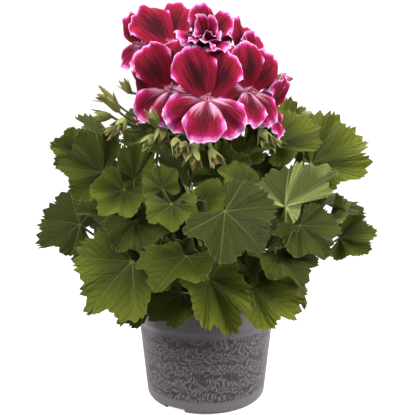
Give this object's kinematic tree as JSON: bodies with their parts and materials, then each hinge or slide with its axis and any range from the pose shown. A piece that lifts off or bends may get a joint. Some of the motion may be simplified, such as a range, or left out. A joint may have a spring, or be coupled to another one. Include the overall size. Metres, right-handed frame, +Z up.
{
  "type": "potted flowering plant",
  "caption": "Regal pelargonium in bloom: ruffled crimson flowers over a dome of lobed green leaves, in a tapered round nursery pot filled with peat.",
  "frame": {"origin": "on the pot's axis, at the level of the surface that the pot stands on", "axes": "+Z up along the pot's axis, -Y towards the viewer of the front, +X to the right of the front"},
  "size_m": [0.2838, 0.2476, 0.3208],
  "materials": {
    "pot": "satin",
    "soil": "matte",
    "leaf": "matte",
    "flower_stem": "matte",
    "petal": "matte"
  },
  "bodies": {
    "root": {"pot": "pot", "soil": "soil", "leafy_stem_front_left": "leaf", "leafy_stem_left": "leaf", "leafy_stem_front": "leaf", "leafy_stem_front_right": "leaf", "leafy_stem_right": "leaf", "leafy_stem_back_right": "leaf", "leafy_stem_back": "leaf", "leafy_stem_back_left": "leaf", "flowering_stem_front": "flower_stem", "flowering_stem_left": "flower_stem", "flowering_stem_right": "flower_stem", "flowering_stem_back": "flower_stem", "bloom_01": "petal", "bloom_02": "petal", "bloom_03": "petal", "bloom_04": "petal", "bloom_05": "petal", "bloom_06": "petal", "bloom_07": "petal", "bloom_08": "petal", "bloom_09": "petal", "bloom_10": "petal", "bloom_11": "petal", "bloom_12": "petal", "bloom_13": "petal", "bloom_14": "petal", "bloom_15": "petal"}
  },
  "joints": []
}
